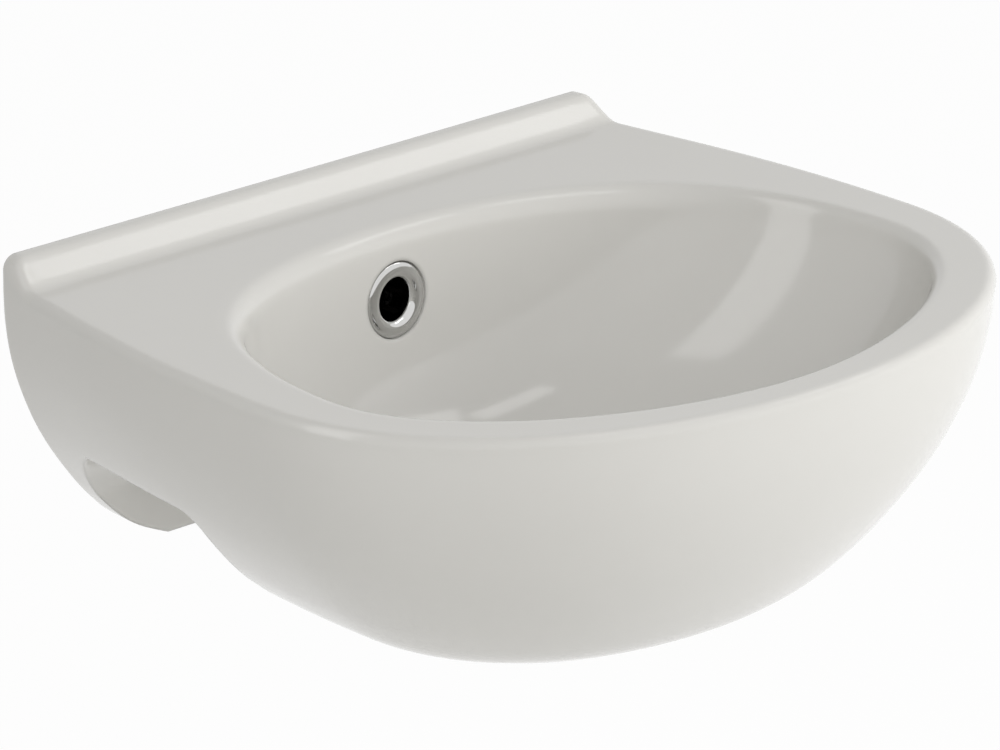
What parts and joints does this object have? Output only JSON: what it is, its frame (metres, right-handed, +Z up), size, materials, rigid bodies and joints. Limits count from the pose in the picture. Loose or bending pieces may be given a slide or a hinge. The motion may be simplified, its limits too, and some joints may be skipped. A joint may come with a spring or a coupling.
{
  "type": "wall-hung washbasin",
  "caption": "Small D-shaped wall-hung ceramic washbasin with a low back upstand, chromed overflow ring and push-to-close waste.",
  "frame": {"origin": "middle of the wall face at deck level", "axes": "+X to the right seen from the front, +Y into the wall, +Z up"},
  "size_m": [0.368, 0.2996, 0.1533],
  "materials": {
    "glaze": "glossy warm white glaze",
    "chrome": "bright plating",
    "brass": "turned",
    "rubber": "matte",
    "plastic": "moulded",
    "steel": "drawn wire"
  },
  "bodies": {
    "basin": {"basin": "glaze", "overflow_ring": "chrome", "waste_body": "chrome", "flange_seal": "rubber", "lower_seal": "rubber", "clamp_washer": "plastic", "back_nut": "brass", "cartridge_body": "plastic", "cartridge_cap": "plastic", "cartridge_screw": "steel", "return_spring": "steel"},
    "plug": {"plug_stem": "brass", "stem_clip": "steel", "plug_cap": "chrome", "plug_seal": "rubber"},
    "index": {"index_ring": "plastic"}
  },
  "joints": [
    {"name": "plug_press", "type": "slide", "parent": "basin", "child": "plug", "axis": [0, 0, 1], "range_m": [-0.008, 0], "stiffness_N_per_m": 350, "springref_m": 0.012, "deforming": ["return_spring"]},
    {"name": "index_turn", "type": "hinge", "parent": "plug", "child": "index", "pos_m": [0, -0.155, -0.1146], "axis": [0, 0, 1], "range_deg": [-2, 47]}
  ],
  "couplings": [
    {"joint": "index_turn", "follows": "plug_press", "rad_per_m": -98.17}
  ]
}
